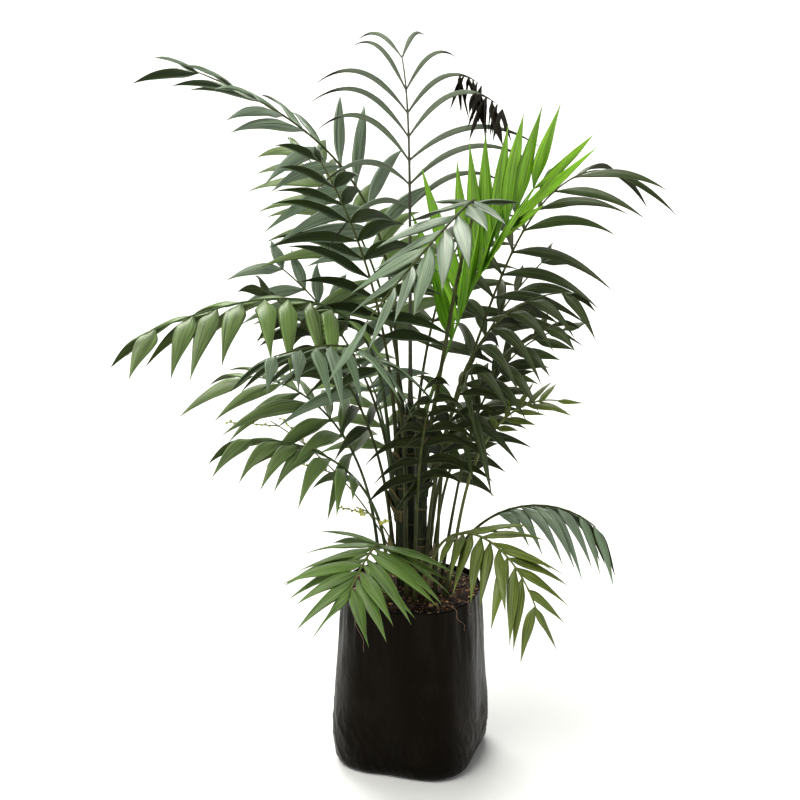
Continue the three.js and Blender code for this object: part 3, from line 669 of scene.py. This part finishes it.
# ---------------- leaflets
def blade_faces():
    """Top, underside and end faces of one leaflet: top rows first, then the underside, then the tip."""
    top = np.arange(ROWS * COLUMNS).reshape(ROWS, COLUMNS)
    inner = COLUMNS - 2
    low = top.copy()
    low[:, 1:-1] = ROWS * COLUMNS + np.arange(ROWS * inner).reshape(ROWS, inner)
    tip = ROWS * (COLUMNS + inner)
    faces = []
    for sheet in (top, low[:, ::-1]):
        for r in range(ROWS - 1):
            for k in range(COLUMNS - 1):
                faces.append((sheet[r, k], sheet[r, k + 1], sheet[r + 1, k + 1], sheet[r + 1, k]))
        faces += [(sheet[-1, k], sheet[-1, k + 1], tip) for k in range(COLUMNS - 1)]
    for k in range(COLUMNS - 1):
        corners = (top[0, k], low[0, k], low[0, k + 1], top[0, k + 1])
        faces.append(tuple(dict.fromkeys(corners)))
    return [tuple(int(i) for i in face) for face in faces]


BLADE_FACES = blade_faces()


def leaflet_places(frond, index):
    seat = BLADE.seat / frond["length"]
    places = []
    for pair in range(frond["pairs"]):
        share = 1 if pair == frond["pairs"] - 1 else (pair + 0.3) / frond["pairs"]
        to = min(1, mix(frond["bare"], 1, share) + seat)
        places.append((share, to - seat / 2, 100 * index + 2 * pair))
    return places


def leaflet_size(frond, share):
    longest = BLADE.longest_at
    if share < longest:
        return mix(1, BLADE.first_size, (1 - share / longest) ** 2)
    return mix(1, frond["tip"], ((share - longest) / (1 - longest)) ** 1.4)


def leaflet(frond, path, place, sign, swing, shortening):
    """The leaflet's root, direction, length and width, as its solid has them."""
    share, middle, pair_seed = place
    seed = pair_seed + (0 if sign > 0 else 1)
    point, along, side, over = path_at(path, middle)
    roll = math.radians(mix(frond["roll"], frond.get("roll_end", frond["roll"]), share))
    fold = math.radians(frond["fold"] + BLADE.fold_jitter * (draw(seed + 0.3) - 0.5))
    spread = math.radians(mix(BLADE.spread_base, BLADE.spread_tip, share) * frond.get("spread", 1)
                          + swing + BLADE.spread_jitter * (draw(seed) - 0.5))
    flat = side * math.cos(roll) + over * math.sin(roll)
    raised = over * math.cos(roll) - side * math.sin(roll)
    heading = (along * math.cos(spread) + flat * sign * math.cos(fold) * math.sin(spread)
               + raised * math.sin(fold) * math.sin(spread))
    size = leaflet_size(frond, share) * (1 + BLADE.size_jitter * (draw(seed + 0.7) - 0.5))
    length = frond["leaf"] * size * shortening
    return dict(point=point, along=along, heading=heading, length=length, sign=sign, seed=seed,
                width=frond["width"] * mix(0.7, 1, size), droop=frond["droop"],
                tip=point + heading * length - UP * frond["droop"] * length)


def grown(frond, path, place, sign, vertices):
    """The one of the leaflet's swings and lengths that the solid has, or None where it has none."""
    for shortening in SHORTENINGS:
        for swing in SWINGS:
            made = leaflet(frond, path, place, sign, swing, shortening)
            if vertices.find(Vector(made["tip"] * MM))[2] < SAME_POINT * MM:
                return made
    return None


def add_leaflet(skin, leaf):
    """A thin pleated blade: folded at its foot, broadest at a third, drawn out to its tip."""
    seed, length = leaf["seed"], leaf["length"]
    t = (np.arange(ROWS + 1) / ROWS)[:, None]
    v = np.linspace(-1, 1, COLUMNS)[None, :]
    heading, along = leaf["heading"], leaf["along"]
    centre = leaf["point"] + heading * length * t - UP * leaf["droop"] * length * t * t
    ahead = unit(heading - UP * 2 * leaf["droop"] * t)
    across = unit(along - ahead * (ahead @ along)[:, None])
    above = np.cross(across, ahead) * leaf["sign"]
    twist = math.radians(LEAFLET.twist) * (draw(seed + 0.11) - 0.5) * t * t
    across, above = (across * np.cos(twist) + above * np.sin(twist),
                     above * np.cos(twist) - across * np.sin(twist))
    centre = centre + across * length * LEAFLET.curve * draw(seed + 0.17) * t * t

    shoulder, outline = BLADE.shoulder, LEAFLET.outline
    rise = np.sin(np.clip(t / shoulder, 0, 1) * math.pi / 2) ** outline
    fall = np.cos(np.clip((t - shoulder) / (1 - shoulder), 0, 1) * math.pi / 2) ** outline
    half = mix(LEAFLET.foot_half, leaf["width"] / 2, rise) * fall
    arch = mix(LEAFLET.foot_arch, LEAFLET.arch + LEAFLET.arch_spread * draw(seed + 0.23),
               smooth(0, 0.32, t))
    pleat = LEAFLET.pleat * smooth(0.02, 0.2, t) * smooth(1.0, 0.75, t)
    ripple = (LEAFLET.ripple * draw(seed + 0.29)
              * np.sin(2 * math.pi * (LEAFLET.ripples * t + draw(seed + 0.31))))
    height = half * (-arch * np.abs(v) ** 1.5 + pleat * np.cos(2 * math.pi * PLEATS * v)
                     + ripple * v ** 3)
    thick = LEAFLET.half_thick * (1 - 0.75 * v * v) * smooth(1.02, 0.9, t)
    keel = LEAFLET.keel * (1 - t) * np.exp(-(v / LEAFLET.keel_half) ** 2)

    reach = centre[:, None, :] + across[:, None, :] * (half * v)[:, :, None]
    top = reach + above[:, None, :] * (height + thick)[:, :, None]
    low = reach + above[:, None, :] * (height - thick - keel)[:, :, None]
    top[:, [0, -1]] = (top[:, [0, -1]] + low[:, [0, -1]]) / 2
    points = np.concatenate([top[:ROWS].reshape(-1, 3), low[:ROWS, 1:-1].reshape(-1, 3), centre[ROWS:]])

    own = draw(seed + 0.53)
    drawn = np.ones_like(t) if leaf.get("withered") else t
    flat_marks = np.stack(np.broadcast_arrays(v, drawn[:ROWS], own), axis=-1)
    notes = np.concatenate([flat_marks.reshape(-1, 3), flat_marks[:, 1:-1].reshape(-1, 3),
                            [[0, 1, own]]])
    under = np.zeros(len(points))
    under[ROWS * COLUMNS:-1] = 1
    skin.add(points, BLADE_FACES, notes, under)
    return centre


def add_rags(skin, leaf, centre):
    """A leaflet's withered end: dark, shrivelled strips that hang together from its outer part."""
    out = unit(leaf["heading"] * (EAST + NORTH))
    level = np.cross(UP, out)
    for strip in range(RAGS["strips"]):
        seed = leaf["seed"] + 0.037 * (strip + 1)
        start = round(mix(RAGS["from"], RAGS["to"], strip / (RAGS["strips"] - 1)) * ROWS)
        aside = level * RAGS["lean"] * (draw(seed + 0.41) - 0.5)
        heading = unit(out * mix(-0.45, 0.4, draw(seed + 0.27)) + aside - UP)
        add_leaflet(skin, dict(point=centre[start], along=aside + out * (draw(seed) - 0.5) + level,
                               heading=heading, sign=leaf["sign"], seed=seed, droop=0.0, withered=True,
                               length=RAGS["length"] * mix(0.45, 1, draw(seed + 0.61)),
                               width=RAGS["width"] * mix(0.5, 1, draw(seed + 0.71))))


def make_frond(index, frond):
    path = stem_path(frond, root_point(frond, STEM.base_half))
    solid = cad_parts[frond["name"]].data.vertices
    vertices = kdtree.KDTree(len(solid))
    for i, vertex in enumerate(solid):
        vertices.insert(vertex.co, i)
    vertices.balance()
    withered, tone = frond["name"] == "frond_top", frond["tone"]
    skin, seats = Skin(), set()
    for place in leaflet_places(frond, index):
        for sign in (1, -1):
            leaf = grown(frond, path, place, sign, vertices)
            if leaf:
                centre = add_leaflet(skin, leaf)
                if withered and leaf["tip"][0] > 0 and RAGS["low"] < leaf["tip"][2] < RAGS["high"]:
                    add_rags(skin, leaf, centre)
                seats.add(place[1])
    add_stem(skin, frond, path, sorted(seats), draw(index + 0.5))
    finishes = [WILTED, STEMS["top"]] if withered else [LEAVES[tone], STEMS[STEM_OF.get(tone, tone)]]
    skin.piece("palm_" + frond["name"], finishes, "leaf_" + tone, frond["name"])


# ---------------- sheaths
def add_sheath(skin, cane, frond, layer):
    """A fibrous sleeve round the cane that opens into the petiole on its own side."""
    sides, rows, height = SHEATH.sides, SHEATH.rows, cane.height
    top_root = "z" not in frond
    z_root = height - 4 if top_root else frond["z"]
    reach = SHEATH.top_reach if top_root else SHEATH.reach
    age = 1 - z_root / height + 0.35 * draw(frond["az"])
    outer, inner, notes = [], [], []
    for row in range(rows + 1):
        share = row / rows
        shell, hollow, note = [], [], []
        for angle in circle(sides):
            apart = (angle - math.radians(frond["az"]) + math.pi) % (2 * math.pi) - math.pi
            facing = math.exp(-(apart / SHEATH.opening) ** 2)
            low = z_root - reach - SHEATH.torn * rough(angle * 2, frond["az"], 1)
            high = (z_root + mix(SHEATH.back, SHEATH.front, facing)
                    + SHEATH.frayed * rough(angle * 3, frond["az"], 5))
            z = mix(low, high, share)
            body = plain_radius(cane, min(z, height)) + SHEATH.room + layer
            if top_root:
                body = mix(body, PETIOLE + 1, smooth(height - 12, height + 10, z))
                swell = 0
            else:
                swell = (2 * PETIOLE + 1.2) * facing * float(smooth(0.15, 0.85, share))
            bumps = SHEATH.bumps * rough(math.cos(angle) * 3, math.sin(angle) * 3, z / 9)
            radius = body + swell + bumps
            centre, out = cane_centre(cane, z), compass(math.degrees(angle))
            shell.append(centre + out * radius)
            hollow.append(centre + out * (radius - SHEATH.film))
            note.append([angle / (2 * math.pi), share, age])
        outer.append(shell)
        inner.append(hollow)
        notes.append(note)
    rings = inner + outer[::-1]
    count = len(rings)
    faces = [(r * sides + k, ((r + 1) % count) * sides + k, ((r + 1) % count) * sides + (k + 1) % sides,
              r * sides + (k + 1) % sides) for r in range(count) for k in range(sides)]
    skin.add(rings, faces, np.reshape(notes + notes[::-1], (-1, 3)))


def make_sheaths(name, cane, finish):
    skin = Skin()
    carried = [frond for frond in FRONDS if frond.get("on") == name]
    for frond in carried:
        level = frond.get("z", cane.height)
        above = [other for other in carried
                 if level < other.get("z", cane.height) < level + SHEATH.near]
        add_sheath(skin, cane, frond, SHEATH.layer * len(above))
    skin.piece(name + "_sheaths", [finish], "cane")


# ---------------- flower sprays
def ball(centre, radius, seed):
    """A slightly lumpy round bud."""
    rings = []
    for row in range(1, FLOWER.bud_rows):
        tilt = math.pi * row / FLOWER.bud_rows
        swell = radius * (1 + FLOWER.bud_lumps * math.sin(5 * tilt + seed))
        level = centre - UP * swell * math.cos(tilt)
        rings.append(ring(level, EAST, NORTH, swell * math.sin(tilt), FLOWER.sides))
    return rings


def make_spray(index, spray, bead, stalk_finish):
    """A bare stalk with a few twigs, and a spiral of buds round each twig."""
    skin, sides, rows = Skin(), FLOWER.sides, FLOWER.stalk_rows
    path = stem_path(spray, root_point(spray, FLOWER.stalk))
    rings = []
    for row in range(rows + 1):
        point, _, side, over = path_at(path, row / rows)
        rings.append(ring(point, side, over, FLOWER.stalk * mix(1.25, 0.8, row / rows), sides))
    skin.loft(rings, (0, 0.6, 0.5), finish=1)
    for twig in range(FLOWER.twigs):
        sign = 1 if twig % 2 == 0 else -1
        place = mix(FLOWER.first_twig, FLOWER.last_twig, twig / (FLOWER.twigs - 1))
        start, along, side, _ = path_at(path, place)
        heading = unit(along + side * FLOWER.aside * sign - UP * FLOWER.sink)
        across = unit(np.cross(heading, UP))
        above = np.cross(across, heading)
        reach = spray["length"] * FLOWER.twig_share
        rings = []
        for row in range(FLOWER.twig_rows + 1):
            share = row / FLOWER.twig_rows
            sway = across * FLOWER.sway * math.sin(FLOWER.sway_turns * share + twig)
            rings.append(ring(start + heading * reach * share + sway, across, above,
                              FLOWER.twig * mix(1.1, 0.6, share), sides))
        skin.loft(rings, (0, 0.8, 0.5), finish=1)
        buds = 3 * FLOWER.beads
        for bud in range(2, buds + 1):
            seed = 50 * index + 15 * twig + bud
            angle = FLOWER.bud_turn * bud
            out = across * math.cos(angle) + above * math.sin(angle)
            sway = across * FLOWER.sway * math.sin(FLOWER.sway_turns * bud / buds + twig)
            size = FLOWER.bead * mix(0.7, 0.95, draw(seed))
            centre = start + heading * reach * bud / buds + sway + out * size * 0.8
            skin.loft(ball(centre, size, seed), (0, 0, draw(seed + 0.4)))
    skin.piece(spray["name"] + "_buds", [bead, stalk_finish], "flower", spray["name"])


# ---------------- the bag
def wall_radius(z):
    """The solids' outline, with its corners rounded off above the base."""
    heights, radii = zip(*BAG.outline)
    offsets = np.linspace(-FILM.soften, FILM.soften, 13)
    soft = np.mean([np.interp(z + offset, heights, radii) for offset in offsets])
    return mix(float(np.interp(z, heights, radii)), soft, float(smooth(4, 24, z)))


def wall_shape(angle, z):
    """The wall's distance from the axis before its wrinkles: squarish at the base, round at the rim."""
    rise = z / RIM
    corner = math.cos(4 * (angle - math.radians(BAG.corner_at)))
    crease = math.sin(7 * angle + 3 * rise) * math.cos(3 * angle - 2 * rise)
    return (wall_radius(z) * (1 + BAG.squareness * (1 - 0.8 * rise) * corner)
            + BAG.crease * min(1, 4 * rise) * crease)


def film_radius(angle, z):
    """The wall with its slack film: long upright folds at the rim, short crumples near the base."""
    x, y = math.cos(angle) * 3.2, math.sin(angle) * 3.2
    fold = 1 - abs(rough(x * 2.1, y * 2.1, z / 120))
    upper = FILM.fold * (fold ** 5) * float(smooth(95, 225, z))
    crumple = 1 - abs(rough(x * 2.6 + z / 60, y * 2.6, z / 26 + 7))
    lower = FILM.crumple * (crumple ** 6) * float(smooth(120, 30, z))
    slack = FILM.slack * rough(x * 1.3, y * 1.3, z / 48 + 3)
    return wall_shape(angle, z) + (upper + lower + slack) * float(smooth(0, 12, z))


def make_bag(finish):
    """Film up the inside from under the mix, over a wavy rim and down the outside to the base."""
    film = FILM.thick
    levels = np.concatenate([FILM.foot, np.linspace(FILM.wall_from, RIM, FILM.wall_rows)])
    outside = []
    for z in levels:
        row = []
        for angle in circle(FILM.sectors):
            x, y = math.cos(angle), math.sin(angle)
            lift = FILM.rim_wave * rough(x * 2.2, y * 2.2, 9) * float(smooth(206, RIM, z))
            curl = FILM.rim_curl * rough(x * 1.7 + 5, y * 1.7, 2) * float(smooth(222, RIM, z))
            radius = film_radius(angle, z) + curl
            row.append([radius * x, radius * y, z + lift])
        outside.append(row)
    outside = np.array(outside)
    inside = outside - unit(outside * (EAST + NORTH) + 1e-9) * film
    inside[:, :, 2] = np.maximum(inside[:, :, 2], film)
    skin = Skin()
    skin.loft(np.concatenate([inside, outside[::-1]]))
    skin.piece("film_bag", [finish], "film", "grow_bag")


# ---------------- the potting mix
def soil_height(x, y):
    """The bumpy top of the mix: a low mound with crumbs of three sizes."""
    share = min(1, math.hypot(x, y) / MIX.mound_radius)
    height = SOIL.edge + SOIL.mound * (1 - share * share)
    for size, apart, layer in MIX.bumps:
        height += size * rough(x / apart, y / apart, layer)
    return height


def make_soil(finish):
    angles = circle(MIX.sectors)
    rings = []
    for z in MIX.levels:
        radii = [wall_shape(a, z) - SOIL.inset - MIX.side_gap for a in angles]
        rings.append([[r * math.cos(a), r * math.sin(a), z] for r, a in zip(radii, angles)])
    for inward in range(MIX.rings):
        share = 1 - inward / MIX.rings
        row = []
        for a in angles:
            radius = (wall_shape(a, SOIL.edge) - SOIL.inset - MIX.top_gap) * share
            x, y = radius * math.cos(a), radius * math.sin(a)
            row.append([x, y, soil_height(x, y)])
        rings.append(row)
    skin = Skin()
    skin.loft(rings)
    skin.piece("potting_mix_body", [finish], "potting_mix", "soil")


def on_soil(seed, reach):
    """A random spot on the mix and its height."""
    radius = reach * math.sqrt(draw(seed))
    angle = 2 * math.pi * draw(seed + 0.37)
    x, y = radius * math.cos(angle), radius * math.sin(angle)
    return np.array([x, y, soil_height(x, y)])


def make_chips(name, finish, count, sizes, first_seed):
    """Broken chips, each a small faceted flake lying nearly flat on the mix."""
    skin, corners = Skin(), CHIP.corners
    for chip in range(count):
        seed = first_seed + 7.3 * chip
        size = mix(sizes[0], sizes[1], draw(seed + 1) ** 2)
        turn = compass(360 * draw(seed + 2))
        tip = unit(UP + CHIP.tilt * (draw(seed + 3) - 0.5) * turn)
        first = unit(np.cross(tip, turn))
        second = np.cross(tip, first)
        centre = on_soil(seed, CHIP.reach) + UP * size * CHIP.lift
        slim = mix(0.35, 1, draw(seed + 6))
        jagged = np.array([mix(0.28, 0.62, draw(seed + 4 + k * 0.7)) for k in range(corners)])
        rings = [ring(centre + tip * size * level, first * slim, second, size * spread * jagged,
                      corners) for level, spread in CHIP.layers]
        skin.loft(rings, (0, 0, draw(seed + 5)))
    skin.piece(name, [finish], "potting_mix", flat=True)


def thread(skin, points, radius, own):
    """A thin round strand through a row of points."""
    points = np.asarray(points, float)
    ahead = unit(np.gradient(points, axis=0))
    rings = []
    for place, (point, heading) in enumerate(zip(points, ahead)):
        first = unit(np.cross(heading, np.array([0.31, 0.52, 0.79])))
        thin = mix(1.0, 0.45, place / (len(points) - 1))
        rings.append(ring(point, first, np.cross(heading, first), radius * thin, FIBRE.sides))
    skin.loft(rings, (0, 0, own))


def add_fibre(skin, seed):
    """A bent husk fibre lying on the mix."""
    centre = on_soil(seed, FIBRE.reach)
    length = mix(FIBRE.shortest, FIBRE.longest, draw(seed + 1))
    way, bend = compass(360 * draw(seed + 2)), 2.5 * (draw(seed + 3) - 0.5)
    aside = np.cross(UP, way)
    points = []
    for row in range(FIBRE.steps + 1):
        share = row / FIBRE.steps - 0.5
        spot = centre + way * length * share + aside * length * bend * (share * share - 0.08)
        lift = 1.2 + 2.2 * draw(seed + 4) * (1 - 4 * share * share)
        points.append([spot[0], spot[1], soil_height(spot[0], spot[1]) + lift])
    thread(skin, points, FIBRE.radius, draw(seed + 5))


def add_root(skin, start, end, bottom, radius):
    """A thin root that comes out of the mix, over the rim and down the wall."""
    points = []
    for row in range(-4, ROOT_STEPS + 1):
        share = max(0, row / ROOT_STEPS)
        angle = math.radians(mix(start, end, share) + 1.6 * math.sin(11 * share))
        z = mix(RIM + 3, bottom, share ** 0.9)
        out = 1.2 if row >= 0 else 1.2 + 3.2 * row
        reach = film_radius(angle, min(z, RIM)) + out
        points.append([reach * math.cos(angle), reach * math.sin(angle), z + 0.2 * min(0, row)])
    thread(skin, points, radius, 0.9)


def make_fibres(finish):
    """Husk fibres on the mix, and the roots that hang over the rim."""
    skin = Skin()
    for fibre in range(FIBRE.count):
        add_fibre(skin, 4000 + 3.7 * fibre)
    for root in ROOTS:
        add_root(skin, *root)
    skin.piece("husk_fibres", [finish], "potting_mix")


# ---------------- stage, lights and camera
def add_sun(name, toward, strength, softness, tint):
    """An even light from far away, on the side of `toward`, as soft as a sky patch `softness` wide."""
    lamp = bpy.data.lights.new(name, "SUN")
    lamp.energy, lamp.angle, lamp.color = strength, math.radians(softness), tint
    made = placed(name, lamp)
    made.location = toward
    made.rotation_euler = Vector(toward).to_track_quat("Z", "Y").to_euler()


def make_floor():
    half = FLOOR_HALF
    mesh = bpy.data.meshes.new("floor")
    mesh.from_pydata([(-half, -half, 0), (half, -half, 0), (half, half, 0), (-half, half, 0)], [],
                     [(0, 1, 2, 3)])
    mesh.materials.append(floor_material())
    floor = placed("floor", mesh)


def make_sky():
    """Pale at the horizon, which a low camera sees, and dimmer above, so that the shade stays deep."""
    world = bpy.data.worlds.new("studio")
    world.use_nodes = True
    Shading.tree = world.node_tree
    sky = world.node_tree.nodes["Background"]
    sky.inputs["Color"].default_value = (1.0, 1.0, 1.0, 1.0)
    upward = node("SeparateXYZ", {0: node("TexCoord").outputs["Generated"]}).outputs[2]
    dimmed = times(step(upward, SKY.low, SKY.high), SKY.loss)
    world.node_tree.links.new(less(SKY.horizon, dimmed), sky.inputs["Strength"])
    bpy.context.scene.world = world


def make_camera():
    lens = bpy.data.cameras.new("camera")
    lens.sensor_width = CAMERA.sensor_mm
    lens.lens = CAMERA.sensor_mm * CAMERA.focal_px / CAMERA.frame_px
    camera = placed("camera", lens)
    camera.location = Vector(CAMERA.place) * MM
    camera.rotation_euler = (math.radians(90 - CAMERA.pitch), 0, 0)
    bpy.context.scene.camera = camera


# ---------------- the palm
make_camera()
make_floor()
make_sky()
for sun in SUNS:
    add_sun(*sun)
bpy.context.scene.view_settings.view_transform = "Standard"

make_bag(film_material())
make_soil(mix_material())
bark = chip_material("bark_chips", ((0.0, (26, 18, 12)), (0.55, (50, 32, 20)),
                                    (0.8, (120, 76, 46)), (1.0, (218, 178, 132))), 0.75)
husk = chip_material("husk_fibre", ((0.0, (60, 40, 26)), (1.0, (150, 122, 96))), 0.65)
make_chips("bark_chips_large", bark, 700, (3, 9), 1000)
make_chips("bark_chips_small", bark, 2600, (1.4, 3.8), 9000)
make_fibres(husk)

cane_finish, sheath_finish = cane_material(), sheath_material()
for cane_name, cane in CANES.items():
    make_cane(cane_name, cane, cane_finish)
    make_sheaths(cane_name, cane, sheath_finish)

bead_finish = bead_material()
for number, spray in enumerate(FLOWERS):
    make_spray(number, spray, bead_finish, STEMS["bright"])

for number, frond in enumerate(FRONDS):
    make_frond(number, frond)
